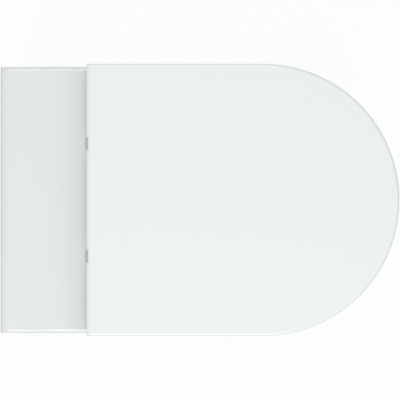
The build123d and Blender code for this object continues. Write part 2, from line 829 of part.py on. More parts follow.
with BuildPart() as lid_buffers:
    boss_z = seat_top + play + lid_buffer_height
    with BuildSketch(Plane.XY.offset(boss_z)):
        with Locations(*lid_buffer_places()):
            Circle(buffer_d / 2)
    extrude(amount=-lid_buffer_height)
    fillet(lid_buffers.edges().group_by(Axis.Z)[0], lid_buffer_height / 4)
    with BuildSketch(Plane.XY.offset(boss_z)):
        with Locations(*lid_buffer_places()):
            Circle(buffer_peg_d / 2)
    extrude(amount=buffer_peg)
save(lid_buffers.part, "lid_buffers")
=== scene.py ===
"""Looks of a wall hung toilet with a soft closing seat and lid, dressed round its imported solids.

Everything is in metres. +Z is up, the wall is the plane Y = 0 and the front faces -Y.
"""

import json
from math import pi, radians

import bmesh
import bpy
import numpy as np
from bpy.props import FloatProperty, FloatVectorProperty, PointerProperty
from bpy.types import Operator, Panel, PropertyGroup
from mathutils import Matrix, Vector


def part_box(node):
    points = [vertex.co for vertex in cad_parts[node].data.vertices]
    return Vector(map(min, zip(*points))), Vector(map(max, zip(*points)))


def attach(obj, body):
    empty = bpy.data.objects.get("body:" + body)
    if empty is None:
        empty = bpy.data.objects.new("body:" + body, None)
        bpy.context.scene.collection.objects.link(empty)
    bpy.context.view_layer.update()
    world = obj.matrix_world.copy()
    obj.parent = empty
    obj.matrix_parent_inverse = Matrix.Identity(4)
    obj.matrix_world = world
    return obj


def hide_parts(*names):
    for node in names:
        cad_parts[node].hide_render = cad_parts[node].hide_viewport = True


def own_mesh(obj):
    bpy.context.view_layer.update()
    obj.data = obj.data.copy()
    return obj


bl_info = {
    "name": "Wall hung toilet",
    "version": (1, 0, 0),
    "blender": (4, 5, 0),
    "location": "View3D > Sidebar > Toilet",
    "description": "Builds the glazed pan, the seat and lid and their hinges round the solid model",
    "category": "Object",
}

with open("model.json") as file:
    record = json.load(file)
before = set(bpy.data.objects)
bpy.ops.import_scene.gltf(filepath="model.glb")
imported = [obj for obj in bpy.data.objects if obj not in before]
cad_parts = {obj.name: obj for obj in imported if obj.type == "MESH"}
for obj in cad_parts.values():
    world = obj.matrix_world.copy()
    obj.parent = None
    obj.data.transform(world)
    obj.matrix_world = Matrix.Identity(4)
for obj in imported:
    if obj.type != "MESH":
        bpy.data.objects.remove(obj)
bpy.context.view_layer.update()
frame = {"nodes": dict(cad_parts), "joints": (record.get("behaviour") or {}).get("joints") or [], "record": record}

MM = 0.001
SIDES = {"left": -1, "right": 1}

# Levels and places read from the solid model
joint_places = {joint["name"]: joint.get("pos_m") for joint in frame["joints"]}
AXIS_Y, AXIS_Z = joint_places["seat_hinge"][1:]
RIM_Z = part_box("pan_shell")[1].z
LID_LOW, LID_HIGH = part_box("lid")
SEAT_LOW, SEAT_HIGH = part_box("seat_ring")
BLOCK_LOW, BLOCK_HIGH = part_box("hinge_block_right")
HINGE_X = (BLOCK_LOW.x + BLOCK_HIGH.x) / 2
BLOCK_HALF = (BLOCK_HIGH.x - BLOCK_LOW.x) / 2
HUB_R = SEAT_HIGH.z - AXIS_Z

# Shape of the lid, apart from the sizes that its box gives
LID_REAR = 119 * MM
LID_SKIN = 4 * MM
LID_SKIRT = 4.5 * MM
LID_SIDE_ROUND = 4 * MM
LID_REAR_ROUND = 7 * MM
LID_REAR_WALL = 25 * MM
LID_INNER_ROUND = 3 * MM
NOTCH_WIDTH = 17 * MM
NOTCH_DEPTH = 2.5 * MM
WINDOW_PLAY = 1 * MM
SOFT_EDGE = 0.8 * MM

# Shape of the seat, apart from the sizes that its box gives
SEAT_REAR = 178 * MM
SEAT_THICKNESS = 18 * MM
SEAT_CORNER = 14 * MM
SEAT_ROUND = 7 * MM
SEAT_UNDER_ROUND = 2.5 * MM
SEAT_HOLE_WIDTH = 226 * MM
SEAT_HOLE_REAR = 214 * MM
SEAT_FRONT_BAND = 58 * MM

# Faint step across the rear deck, where the part by the wall lies a little lower
STEP_REAR = 52 * MM
STEP_FRONT = 60 * MM
STEP_DROP = 0.35 * MM

# Lugs that turn on the hinge pins
LUG_WIDTH = 26 * MM
LUG_GAP = 0.5 * MM
LUG_ROUND = 0.8 * MM

# Release buttons and their springs
BUTTON_ROUND = 0.6 * MM
BUTTON_DISH_DEPTH = 0.25 * MM
BUTTON_DISH_SHARE = 0.7
SPRING_WIRE = 0.8 * MM
SPRING_COILS = 3

# Grooved posts on the hinge feet
POST_GROOVE_DEPTH = 0.9 * MM
POST_GROOVE_WIDTH = 1.8 * MM
POST_TENON_R = 3 * MM
POST_TENON_LENGTH = 5 * MM

# Rubber buffers, and the bosses that hold them under the lid
BUFFER_PEG_R = 3 * MM
BUFFER_PEG_LENGTH = 4 * MM
BUFFER_DIMPLE_DEPTH = 0.5 * MM
BUFFER_DIMPLE_SHARE = 0.55
LID_BOSS_R = 9 * MM

# Side caps and flush seal
CAP_RIM = 3.3 * MM
CAP_SKIN = 2.5 * MM
CAP_DOME = 0.3 * MM
CAP_DOME_SHARE = 0.9
SEAL_BORE_R = 22.5 * MM
SEAL_FLANGE = 3 * MM
SEAL_WAVE = 1.1 * MM

# Place and width of each lamp
LAMPS = {
    "left": ((-1.9, 0.15, 2.3), 1.6),
    "right": ((1.9, 0.15, 2.3), 1.6),
    "near": ((-0.5, -0.95, 1.15), 0.7),
}

# Sampling of the surfaces
ARC_POINTS = 97
EDGE_POINTS = 9
SHARP_ANGLE = radians(38)


def softened(corners, rounds, steps=6):
    """Turn a profile's corners into parabolas.

    For each corner C with neighbours on its two sides, A and B lie `round` away from it, and the
    curve is (1 - s)^2 A + 2 s (1 - s) C + s^2 B for s from 0 to 1. A round of 0 keeps the corner.
    """
    corners = np.array(corners, float)
    rounds = np.broadcast_to(np.asarray(rounds, float), (len(corners),))
    share = np.linspace(0, 1, steps)[:, None]
    profile = []
    for index, corner in enumerate(corners):
        before, after = corners[index - 1], corners[(index + 1) % len(corners)]
        if rounds[index] == 0:
            profile.append(corner[None])
            continue
        start = corner + (before - corner) / np.linalg.norm(before - corner) * rounds[index]
        end = corner + (after - corner) / np.linalg.norm(after - corner) * rounds[index]
        profile.append((1 - share) ** 2 * start + 2 * share * (1 - share) * corner + share**2 * end)
    return np.concatenate(profile)


def skin_mesh(name, shells):
    """Join one or more shells into a mesh with outward faces.

    A shell is (rings, closing): rings is an array of rings x points x 3, each ring closed on itself.
    closing is "loop" where the last ring meets the first, "faces" for a flat face at each end,
    and "poles" where the end rings already shrink to a line or a point.
    """
    points, faces, first = [], [], 0
    for rings, closing in shells:
        rows, count = rings.shape[:2]
        here = np.arange(rows * count).reshape(rows, count) + first
        start, after = (here, np.roll(here, -1, 0)) if closing == "loop" else (here[:-1], here[1:])
        quads = np.stack([start, np.roll(start, -1, 1), np.roll(after, -1, 1), after], -1)
        faces += quads.reshape(-1, 4).tolist()
        if closing == "faces":
            faces += [here[0][::-1].tolist(), here[-1].tolist()]
        points.append(rings.reshape(-1, 3))
        first += rows * count
    mesh = bpy.data.meshes.new(name)
    mesh.from_pydata(np.concatenate(points).tolist(), [], faces)
    close_and_smooth(mesh)
    return mesh


def mesh_points(mesh):
    """Give the places of a mesh's vertices as an array."""
    points = np.empty(len(mesh.vertices) * 3, np.float32)
    mesh.vertices.foreach_get("co", points)
    return points.reshape(-1, 3)


def close_and_smooth(mesh, merge=2e-6, turn=True, angle=SHARP_ANGLE, cuts=()):
    """Merge the doubles of a mesh, turn its faces outwards and shade it smooth up to the sharp angle.

    cuts are places on Y at which its faces are divided.
    """
    net = bmesh.new()
    net.from_mesh(mesh)
    bmesh.ops.remove_doubles(net, verts=net.verts, dist=merge)
    bmesh.ops.dissolve_degenerate(net, edges=net.edges, dist=merge / 2)
    if turn:
        bmesh.ops.recalc_face_normals(net, faces=net.faces)
    for place in cuts:
        parts = [*net.verts, *net.edges, *net.faces]
        bmesh.ops.bisect_plane(net, geom=parts, dist=1e-7, plane_co=(0, place, 0), plane_no=(0, 1, 0))
    net.to_mesh(mesh)
    net.free()
    mesh.polygons.foreach_set("use_smooth", np.ones(len(mesh.polygons), bool))
    mesh.set_sharp_from_angle(angle=angle)
    mesh.update()


def place_piece(name, mesh, body, slot, replaces=()):
    """Put a finished mesh in the scene, on its body and with the finish of its slot."""
    piece = bpy.data.objects.new(name, mesh)
    bpy.context.scene.collection.objects.link(piece)
    set_finish(mesh, slot)
    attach(piece, body)
    if replaces:
        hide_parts(*replaces)
    return piece


def make_piece(name, shells, body, slot, replaces=()):
    """Make a piece from its shells and put it in the scene."""
    return place_piece(name, skin_mesh(name, shells), body, slot, replaces)


def smooth_copy(node, name, body, slot, cuts=()):
    """Merge a copy of a node's loose triangles, so that its round faces shade smoothly.

    Each corner's normal is the mean of its faces' normals by their areas, so that flat faces stay flat.
    """
    mesh = frame["nodes"][node].data.copy()
    mesh.name = name
    close_and_smooth(mesh, merge=1e-6, turn=False, cuts=cuts)
    piece = place_piece(name, mesh, body, slot, (node,))
    weighted = piece.modifiers.new("flat_faces_first", "WEIGHTED_NORMAL")
    weighted.mode = "FACE_AREA"
    weighted.weight = 60
    weighted.keep_sharp = True
    return piece


def set_finish(mesh, slot):
    """Give a mesh the finish of a slot."""
    mesh.materials.clear()
    mesh.materials.append(finish(slot))


def turned_rings(profile, centre, points=48, along="z"):
    """Carry a profile of (radius, height) pairs round a centre line.

    Point (i, j) is centre + radius_i (cos a_j, sin a_j) across the line and height_i along it.
    """
    angles = np.linspace(0, 2 * pi, points, endpoint=False)
    radius, height = np.array(profile, float).T[..., None]
    across = radius * np.cos(angles)
    up = radius * np.sin(angles)
    height = np.broadcast_to(height, across.shape)
    order = {"z": (across, up, height), "y": (across, height, up), "x": (height, across, up)}[along]
    return np.stack(order, -1) + np.array(centre, float)


def d_outline(half_width, front, rear, inset, corner=0.0, rear_stops=()):
    """Give rings of a D seen from above, drawn inset from its edge.

    The rear and the sides are straight, at the inset's distance, and the front is a half circle whose
    radius shrinks by the inset. The rear corners are mitred, or arcs whose radius shrinks by the inset.
    rear_stops are X places at which the rear edge gets a point of its own.
    """
    inset = np.atleast_1d(inset).astype(float)[:, None]
    middle = front - half_width
    reach = half_width - corner
    stops = np.unique(np.concatenate([np.linspace(-reach, reach, 61), np.array(rear_stops, float)]))
    limit = half_width - np.maximum(inset, corner)
    rear_x = np.clip(stops, -limit, limit)
    rear_y = -(rear + inset) + 0 * rear_x
    runs = [(rear_x, rear_y)]
    if corner:
        turn = np.linspace(0, pi / 2, EDGE_POINTS + 2)[1:-1]
        corner_x = reach + (corner - inset) * np.sin(turn)
        corner_y = -(rear + corner) + (corner - inset) * np.cos(turn)
        runs.append((corner_x, corner_y))
    side_y = np.linspace(-(rear + corner), -middle, 45)
    side_y = np.minimum(side_y, -(rear + np.maximum(inset, corner)))
    side_x = half_width - inset + 0 * side_y
    runs.append((side_x, side_y))
    sweep = np.linspace(0, pi, ARC_POINTS)[1:-1]
    runs.append(((half_width - inset) * np.cos(sweep), -middle - (half_width - inset) * np.sin(sweep)))
    runs.append((-side_x[:, ::-1], side_y[:, ::-1]))
    if corner:
        runs.append((-corner_x[:, ::-1], corner_y[:, ::-1]))
    x, y = (np.concatenate([run[axis] for run in runs], 1) for axis in (0, 1))
    return x, y


def edge_drop(distance, radius):
    """Give how far a quarter round lies below its top, at a distance in from its edge."""
    short = np.clip(radius - distance, 0, radius)
    return radius - np.sqrt(radius**2 - short**2)


def lid_rings(crown):
    """Work out the lid as one closed shell.

    Rings run from the middle line of the top out to the edge, down the skirt, round its foot, up
    inside and back to the middle line. The top's height is the crown's parabolas in X and Y less the
    quarter rounds of the sides and of the rear edge, each worked out from its own distance. In the
    hinge windows the rear edge draws back to where its round meets the top of the window.
    """
    half, front = LID_HIGH.x, -LID_LOW.y
    middle_front, middle_rear = front - half, LID_REAR + half * 0.9
    window = BLOCK_HALF + WINDOW_PLAY
    stops = []
    for side in SIDES.values():
        for reach in (NOTCH_WIDTH / 2, window):
            for offset in (-reach - 0.05 * MM, -reach + 0.05 * MM, reach - 0.05 * MM, reach + 0.05 * MM):
                stops.append(side * HINGE_X + offset)
    wall_end = half - LID_SKIRT
    stops += [side * (wall_end + offset) for side in SIDES.values() for offset in (0, 0.1 * MM)]

    def flat(inset):
        return d_outline(half, front, LID_REAR, inset, rear_stops=stops)

    def top_height(x, y):
        side_distance = np.where(
            -y < middle_front, half - abs(x), half - np.hypot(x, -y - middle_front)
        )
        long_share = (-y - (front + LID_REAR) / 2) / ((front - LID_REAR) / 2)
        dome = crown * ((x / half) ** 2 + long_share**2) / 2
        rounds = edge_drop(side_distance, LID_SIDE_ROUND) + edge_drop(-y - LID_REAR, LID_REAR_ROUND)
        return LID_HIGH.z - dome - rounds

    def to_middle(x, y, shares):
        line_y = np.clip(y, -middle_front, -middle_rear)
        shares = shares[:, None]
        return x * shares, line_y + (y - line_y) * shares

    def notched(x, y, fade=8 * MM):
        near = abs(abs(x) - HINGE_X) < NOTCH_WIDTH / 2
        behind = y > -LID_REAR - fade
        depth = NOTCH_DEPTH * (1 - np.clip(-y - LID_REAR, 0, fade) / fade)
        return np.where(near & behind, y - depth, y)

    window_top = LID_SKIN - SOFT_EDGE
    recess = LID_REAR_ROUND - (LID_REAR_ROUND**2 - (LID_REAR_ROUND - window_top) ** 2) ** 0.5

    def windowed(x, y):
        inside = abs(abs(x) - HINGE_X) < window
        return np.where(inside, np.minimum(y, -LID_REAR - recess), y)

    rounding = LID_REAR_ROUND * (1 - np.cos(np.linspace(pi / 2, 0, 17)))
    x_round, y_round = flat(rounding)
    x_top, y_top = to_middle(x_round[:1], y_round[:1], np.linspace(0, 1, 26)[:-1])
    x = np.concatenate([x_top, x_round])
    y = windowed(x, notched(x, np.concatenate([y_top, y_round])))
    z = top_height(x, y)

    # Foot of the skirt: full height at the sides, low at the rear, open at the hinge windows
    x_edge, y_edge = flat(0.0)
    at_rear = (y_edge > -LID_REAR - 0.01 * MM) & (abs(x_edge) < wall_end + 0.05 * MM)
    at_window = at_rear & (abs(abs(x_edge) - HINGE_X) < window)
    inner_z = LID_HIGH.z - LID_SKIN
    foot = np.where(at_rear, RIM_Z + LID_REAR_WALL, LID_LOW.z)
    foot = np.where(at_window, inner_z, foot)
    bend = np.linspace(0, pi / 2, 5)
    outer = SOFT_EDGE * (1 - np.cos(bend))
    rise = SOFT_EDGE * (1 - np.sin(bend))
    foot_insets = np.concatenate([outer, LID_SKIRT - outer[::-1]])
    foot_rises = np.concatenate([rise, rise[::-1]])[:, None]
    x_foot, y_foot = flat(foot_insets)
    y_foot = windowed(x_foot, notched(x_foot, y_foot))
    z_foot = foot + foot_rises

    # Inside: up the wall, round into the ceiling and back to the middle line
    fillet = np.linspace(0, pi / 2, 7)
    x_in, y_in = flat(LID_SKIRT + LID_INNER_ROUND * (1 - np.cos(fillet)))
    z_in = inner_z - LID_INNER_ROUND * (1 - np.sin(fillet))[:, None] + 0 * x_in
    z_in = np.maximum(z_in, foot + SOFT_EDGE)
    z_in = np.minimum(z_in, np.maximum(inner_z, foot + SOFT_EDGE))
    x_under, y_under = to_middle(x_in[-1:], y_in[-1:], np.linspace(1, 0, 16)[1:])
    ceiling = inner_z + 0 * x_under
    x = np.concatenate([x, x_foot, x_in, x_under])
    y = np.concatenate([y, y_foot, y_in, y_under])
    z = np.concatenate([z, z_foot, z_in, ceiling])
    return np.stack([x, y, z], -1)


def seat_rings(dish):
    """Work out the seat as one closed ring.

    A section is carried between the outer D and the inner oval, matched by their direction from the
    oval's centre: up the outer side, round to the top, across it with a dish of one sine wave, down
    the inner side and back under.
    """
    half, front = SEAT_HIGH.x, -SEAT_LOW.y
    bottom, top = SEAT_LOW.z, SEAT_LOW.z + SEAT_THICKNESS
    hole_front = front - SEAT_FRONT_BAND
    centre_y = -(SEAT_HOLE_REAR + hole_front) / 2
    oval_x, oval_y = SEAT_HOLE_WIDTH / 2, (hole_front - SEAT_HOLE_REAR) / 2
    x_edge, y_edge = d_outline(half, front, SEAT_REAR, 0.0, SEAT_CORNER)
    turn = np.arctan2((y_edge - centre_y) / oval_y, x_edge / oval_x)
    bend = np.linspace(0, pi / 2, EDGE_POINTS)
    under = SEAT_UNDER_ROUND * (1 - np.sin(bend))
    under_z = bottom + SEAT_UNDER_ROUND * (1 - np.cos(bend))
    over = SEAT_ROUND * (1 - np.cos(bend))
    over_z = top - SEAT_ROUND * (1 - np.sin(bend))
    insets = np.concatenate([under, over])
    heights = np.concatenate([under_z, over_z])[:, None]
    x_out, y_out = d_outline(half, front, SEAT_REAR, insets, SEAT_CORNER)
    insets = insets[::-1, None]
    normal_x, normal_y = np.cos(turn) / oval_x, np.sin(turn) / oval_y
    length = np.hypot(normal_x, normal_y)
    x_in = oval_x * np.cos(turn) + normal_x / length * insets
    y_in = centre_y + oval_y * np.sin(turn) + normal_y / length * insets
    share = np.linspace(0, 1, 16)[1:-1, None]
    x_top = x_out[-1] * (1 - share) + x_in[0] * share
    y_top = y_out[-1] * (1 - share) + y_in[0] * share
    z_top = top - dish * np.sin(pi * share) ** 2 + 0 * x_top
    share = share[::2]
    x_under = x_in[-1] * (1 - share) + x_out[0] * share
    y_under = y_in[-1] * (1 - share) + y_out[0] * share
    z_out = heights + 0 * x_out
    x = np.concatenate([x_out, x_top, x_in, x_under])
    y = np.concatenate([y_out, y_top, y_in, y_under])
    z = np.concatenate([z_out, z_top, z_out[::-1], bottom + 0 * x_under])
    return np.stack([x, y, z], -1)


def lug_rings(outline, start, end):
    """Carry a closed outline of (y, z) points along X, drawn in by a quarter round at both ends."""
    outline = np.array(outline, float)
    step = np.roll(outline, -1, 0) - np.roll(outline, 1, 0)
    normal = np.stack([step[:, 1], -step[:, 0]], -1) / np.linalg.norm(step, axis=1)[:, None]
    area = np.sum(outline[:, 0] * np.roll(outline[:, 1], -1) - outline[:, 1] * np.roll(outline[:, 0], -1))
    normal *= np.sign(area)
    bend = np.linspace(0, pi / 2, 5)
    insets = LUG_ROUND * (1 - np.sin(bend))
    depths = LUG_ROUND * (1 - np.cos(bend))
    way = np.sign(end - start)
    places = np.concatenate([start + way * depths, end - way * depths[::-1]])
    insets = np.concatenate([insets, insets[::-1]])
    section = outline[None] - normal[None] * insets[:, None, None]
    x = places[:, None] + 0 * section[..., 0]
    return np.concatenate([x[..., None], section], -1)


def hub_arc(first, last, count=25):
    """Give (y, z) points on the hub circle round the hinge axis, from one angle to another."""
    angle = np.linspace(first, last, count)
    return np.stack([AXIS_Y + HUB_R * np.cos(angle), AXIS_Z + HUB_R * np.sin(angle)], -1)


def spring_rings(centre, low, high, radius, wire, coils):
    """Carry a round wire along a helix: the angle and the height both grow evenly from low to high."""
    turn = np.linspace(0, 2 * pi * coils, 40 * coils)
    height = np.linspace(low + wire / 2, high - wire / 2, len(turn))
    out = np.stack([np.cos(turn), np.sin(turn), 0 * turn], -1)
    line = np.array([*centre, 0]) + radius * out + np.stack([0 * turn, 0 * turn, height], -1)
    angle = np.linspace(0, 2 * pi, 10, endpoint=False)[None, :, None]
    up = np.array([0, 0, 1.0])
    return line[:, None] + wire / 2 * (np.cos(angle) * out[:, None] + np.sin(angle) * up)


# Shader groups that several finishes share


def new_group(name, inputs, outputs):
    """Start a shader node group with named inputs and outputs and return it with its two end nodes.

    inputs gives each input its default: a colour where that is a tuple, and otherwise a value.
    """
    group = bpy.data.node_groups.new(name, "ShaderNodeTree")
    for label, default in inputs.items():
        kind = "NodeSocketColor" if isinstance(default, tuple) else "NodeSocketFloat"
        group.interface.new_socket(label, in_out="INPUT", socket_type=kind).default_value = default
    for label in outputs:
        kind = "NodeSocketColor" if label == "Colour" else "NodeSocketFloat"
        group.interface.new_socket(label, in_out="OUTPUT", socket_type=kind)
    return group, group.nodes.new("NodeGroupInput"), group.nodes.new("NodeGroupOutput")


def add_node(tree, kind, settings=None, **values):
    """Add a node with its settings and link or set its named inputs."""
    node = tree.nodes.new(kind)
    for key, value in (settings or {}).items():
        setattr(node, key, value)
    for label, value in values.items():
        connect(tree, value, node.inputs[label.replace("_", " ")])
    return node


def connect(tree, value, socket):
    """Link an output to a socket, or set the socket to a plain value."""
    if isinstance(value, bpy.types.NodeSocket):
        tree.links.new(value, socket)
    else:
        socket.default_value = value


def math_node(tree, operation, first, second=0.0, third=0.0, clamp=False):
    """Add a Math node and return its value."""
    node = tree.nodes.new("ShaderNodeMath")
    node.operation = operation
    node.use_clamp = clamp
    for index, value in enumerate((first, second, third)):
        connect(tree, value, node.inputs[index])
    return node.outputs[0]


def object_place(tree):
    """Give the Object coordinates, which are the part's own metres."""
    return tree.nodes.new("ShaderNodeTexCoord").outputs["Object"]


def make_tone_drift():
    """Shift a colour a little towards a second one in broad soft clouds."""
    inputs = {
        "Colour": (0.8, 0.8, 0.8, 1),
        "Second": (0.7, 0.7, 0.7, 1),
        "Scale": 8.0,
        "Amount": 0.5,
    }
    group, start, end = new_group("Tone drift", inputs, ["Colour"])
    noise = add_node(
        group,
        "ShaderNodeTexNoise",
        Vector=object_place(group),
        Scale=start.outputs["Scale"],
        Detail=3.0,
        Roughness=0.55,
    )
    share = math_node(group, "MULTIPLY", noise.outputs["Fac"], start.outputs["Amount"], clamp=True)
    mix = add_node(group, "ShaderNodeMix", {"data_type": "RGBA"})
    group.links.new(share, mix.inputs["Factor"])
    group.links.new(start.outputs["Colour"], mix.inputs[6])
    group.links.new(start.outputs["Second"], mix.inputs[7])
    group.links.new(mix.outputs[2], end.inputs["Colour"])
    return group


def make_orange_peel():
    """Two sizes of soft ripple, as a glaze or a mould leaves on a glossy face."""
    inputs = {"Broad scale": 90.0, "Fine scale": 900.0, "Fine share": 0.3}
    group, start, end = new_group("Orange peel", inputs, ["Height"])
    place = object_place(group)
    broad = add_node(
        group, "ShaderNodeTexNoise", Vector=place, Scale=start.outputs["Broad scale"], Detail=1.0
    )
    fine = add_node(
        group, "ShaderNodeTexNoise", Vector=place, Scale=start.outputs["Fine scale"], Detail=2.0
    )
    fine_part = math_node(group, "MULTIPLY", fine.outputs["Fac"], start.outputs["Fine share"])
    total = math_node(group, "ADD", broad.outputs["Fac"], fine_part)
    group.links.new(total, end.inputs["Height"])
    return group


def make_wipe_marks():
    """Faint curved streaks and specks that dull a gloss here and there, from cleaning."""
    inputs = {"Gloss": 0.1, "Dulling": 0.1, "Scale": 30.0}
    group, start, end = new_group("Wipe marks", inputs, ["Roughness"])
    place = object_place(group)
    stretch = add_node(group, "ShaderNodeMapping", Vector=place, Scale=(1.0, 0.16, 1.0))
    stretch.inputs["Rotation"].default_value = (0.0, 0.0, radians(24))
    streaks = add_node(
        group,
        "ShaderNodeTexNoise",
        Vector=stretch.outputs["Vector"],
        Scale=start.outputs["Scale"],
        Detail=4.0,
        Distortion=0.6,
    )
    specks = add_node(group, "ShaderNodeTexNoise", Vector=place, Scale=700.0, Detail=2.0)
    both = math_node(group, "MULTIPLY", streaks.outputs["Fac"], specks.outputs["Fac"])
    raised = add_node(
        group, "ShaderNodeMapRange", Value=both, From_Min=0.2, From_Max=0.42, To_Min=0.0, To_Max=1.0
    )
    added = math_node(group, "MULTIPLY", raised.outputs["Result"], start.outputs["Dulling"])
    total = math_node(group, "ADD", added, start.outputs["Gloss"])
    group.links.new(total, end.inputs["Roughness"])
    return group


def make_turned_lines():
    """Fine rings round the X or Z axis of a small round part, as a lathe leaves them."""
    inputs = {"Lines per metre": 3000.0, "Waver": 0.4}
    group, start, end = new_group("Turned lines", inputs, ["Height"])
    place = object_place(group)
    split = add_node(group, "ShaderNodeSeparateXYZ", Vector=place)
    run = math_node(group, "ADD", split.outputs["X"], split.outputs["Z"])
    waver = add_node(group, "ShaderNodeTexNoise", Vector=place, Scale=400.0, Detail=1.0)
    shift = math_node(group, "MULTIPLY", waver.outputs["Fac"], start.outputs["Waver"])
    lines = math_node(group, "MULTIPLY_ADD", run, start.outputs["Lines per metre"], shift)
    wave = math_node(group, "SINE", lines)
    group.links.new(wave, end.inputs["Height"])
    return group


def make_spark_grain():
    """Fine even grain, as a spark eroded mould leaves on plastic and rubber."""
    group, start, end = new_group("Spark grain", {"Scale": 2500.0}, ["Height", "Mask"])
    place = object_place(group)
    cells = add_node(
        group, "ShaderNodeTexVoronoi", {"feature": "F1"}, Vector=place, Scale=start.outputs["Scale"]
    )
    clouds = add_node(group, "ShaderNodeTexNoise", Vector=place, Scale=60.0, Detail=3.0)
    group.links.new(cells.outputs["Distance"], end.inputs["Height"])
    group.links.new(clouds.outputs["Fac"], end.inputs["Mask"])
    return group


GROUPS = {}


def shared_group(name):
    """Give one of the shader groups, made on its first use."""
    makers = {
        "tone": make_tone_drift,
        "peel": make_orange_peel,
        "wipe": make_wipe_marks,
        "turned": make_turned_lines,
        "grain": make_spark_grain,
    }
    if name not in GROUPS:
        GROUPS[name] = makers[name]()
    return GROUPS[name]


def use_group(tree, name, **values):
    """Place a shared group in a material with its own values."""
    node = tree.nodes.new("ShaderNodeGroup")
    node.node_tree = shared_group(name)
    for label, value in values.items():
        connect(tree, value, node.inputs[label.replace("_", " ")])
    return node


FINISHES = {}


def start_finish(name, **constants):
    """Start a material with plain values on its shader's own sockets."""
    material = bpy.data.materials.new(name)
    material.use_nodes = True
    tree = material.node_tree
    shader = tree.nodes["Principled BSDF"]
    for label, value in constants.items():
        shader.inputs[label.replace("_", " ")].default_value = value
    return material, tree, shader


def add_bump(tree, shader, height, strength, distance):
    """Raise a shader's surface by a height."""
    bump = add_node(tree, "ShaderNodeBump", Height=height, Strength=strength, Distance=distance)
    tree.links.new(bump.outputs["Normal"], shader.inputs["Normal"])


def darker(colour, share):
    """Give a colour multiplied by a share, with full alpha."""
    return tuple(channel * share for channel in colour[:3]) + (1.0,)


def glaze_finish(colours):
    """White sanitary glaze over fired clay, bare at the edge that stands against the wall."""
    material, tree, shader = start_finish("glaze", IOR=1.52, Coat_Weight=0.35, Coat_Roughness=0.03)
    tone = use_group(
        tree, "tone", Colour=(*colours.glaze, 1), Second=darker(colours.glaze, 0.97), Scale=5.0, Amount=0.8
    )
    split = add_node(tree, "ShaderNodeSeparateXYZ", Vector=object_place(tree))
    edge = add_node(tree, "ShaderNodeTexNoise", Vector=object_place(tree), Scale=120.0, Detail=3.0)
    wander = math_node(tree, "MULTIPLY_ADD", edge.outputs["Fac"], 1.2 * MM, split.outputs["Y"])
    bare = add_node(
        tree, "ShaderNodeMapRange", Value=wander, From_Min=-1.6 * MM, From_Max=-0.6 * MM
    ).outputs["Result"]
    mix = add_node(tree, "ShaderNodeMix", {"data_type": "RGBA"})
    tree.links.new(bare, mix.inputs["Factor"])
    tree.links.new(tone.outputs["Colour"], mix.inputs[6])
    mix.inputs[7].default_value = (*colours.bare_clay, 1)
    tree.links.new(mix.outputs[2], shader.inputs["Base Color"])
    gloss = use_group(tree, "wipe", Gloss=0.07, Dulling=0.1, Scale=18.0)
    rough = math_node(tree, "MULTIPLY_ADD", bare, 0.7, gloss.outputs["Roughness"])
    tree.links.new(rough, shader.inputs["Roughness"])
    peel = use_group(tree, "peel", Broad_scale=70.0, Fine_scale=600.0, Fine_share=0.2)
    add_bump(tree, shader, peel.outputs["Height"], 0.25, 0.15 * MM)
    return material


# Finishes that wiping keeps clean, for each slot: material, colour, the second tone's share of it with the
# tone's scale and amount, gloss with its dulling and scale, relief with its values, strength and depth,
# and the shader's plain values
CLEAN_FINISHES = {
    "seat_plastic": (
        "seat_resin",
        "seat",
        (0.985, 4.0, 0.7),
        (0.11, 0.09, 22.0),
        ("peel", {"Broad_scale": 110.0, "Fine_scale": 1200.0, "Fine_share": 0.25}, 0.2, 0.1 * MM),
        {"IOR": 1.55, "Coat_Weight": 0.2, "Coat_Roughness": 0.05},
    ),
    "cap_plastic": (
        "cap_plastic",
        "cap",
        (0.96, 40.0, 0.8),
        (0.2, 0.12, 60.0),
        ("peel", {"Broad_scale": 500.0, "Fine_scale": 2500.0, "Fine_share": 0.4}, 0.15, 0.05 * MM),
        {"IOR": 1.5},
    ),
    "chrome": (
        "chrome",
        "chrome",
        (0.9, 90.0, 0.6),
        (0.07, 0.16, 160.0),
        ("peel", {"Broad_scale": 260.0, "Fine_scale": 2000.0, "Fine_share": 0.2}, 0.12, 0.04 * MM),
        {"Metallic": 1.0},
    ),
    "stainless": (
        "stainless",
        "steel",
        (0.82, 120.0, 0.8),
        (0.24, 0.14, 200.0),
        ("turned", {"Lines_per_metre": 16000.0, "Waver": 1.5}, 0.2, 0.02 * MM),
        {"Metallic": 1.0},
    ),
    "zinc_steel": (
        "zinc_steel",
        "zinc",
        (0.7, 260.0, 0.9),
        (0.34, 0.2, 180.0),
        ("grain", {"Scale": 1800.0}, 0.12, 0.03 * MM),
        {"Metallic": 1.0},
    ),
}

# Matt finishes, for each slot: colour, lowest roughness and scale of the grain
MATT_FINISHES = {
    "rubber": ("rubber", 0.5, 2200.0),
    "nylon": ("nylon", 0.34, 1500.0),
    "damper_plastic": ("damper", 0.38, 1900.0),
}


def clean_finish(colours, name, colour, tone, wipe, relief, constants):
    """Glossy plastic or metal: a drifting tone, a gloss dulled here and there, and a fine relief."""
    material, tree, shader = start_finish(name, **constants)
    colour = getattr(colours, colour)
    shade, scale, amount = tone
    drift = use_group(
        tree, "tone", Colour=(*colour, 1), Second=darker(colour, shade), Scale=scale, Amount=amount
    )
    tree.links.new(drift.outputs["Colour"], shader.inputs["Base Color"])
    gloss = use_group(tree, "wipe", Gloss=wipe[0], Dulling=wipe[1], Scale=wipe[2])
    tree.links.new(gloss.outputs["Roughness"], shader.inputs["Roughness"])
    group, values, strength, depth = relief
    height = use_group(tree, group, **values)
    add_bump(tree, shader, height.outputs["Height"], strength, depth)
    return material


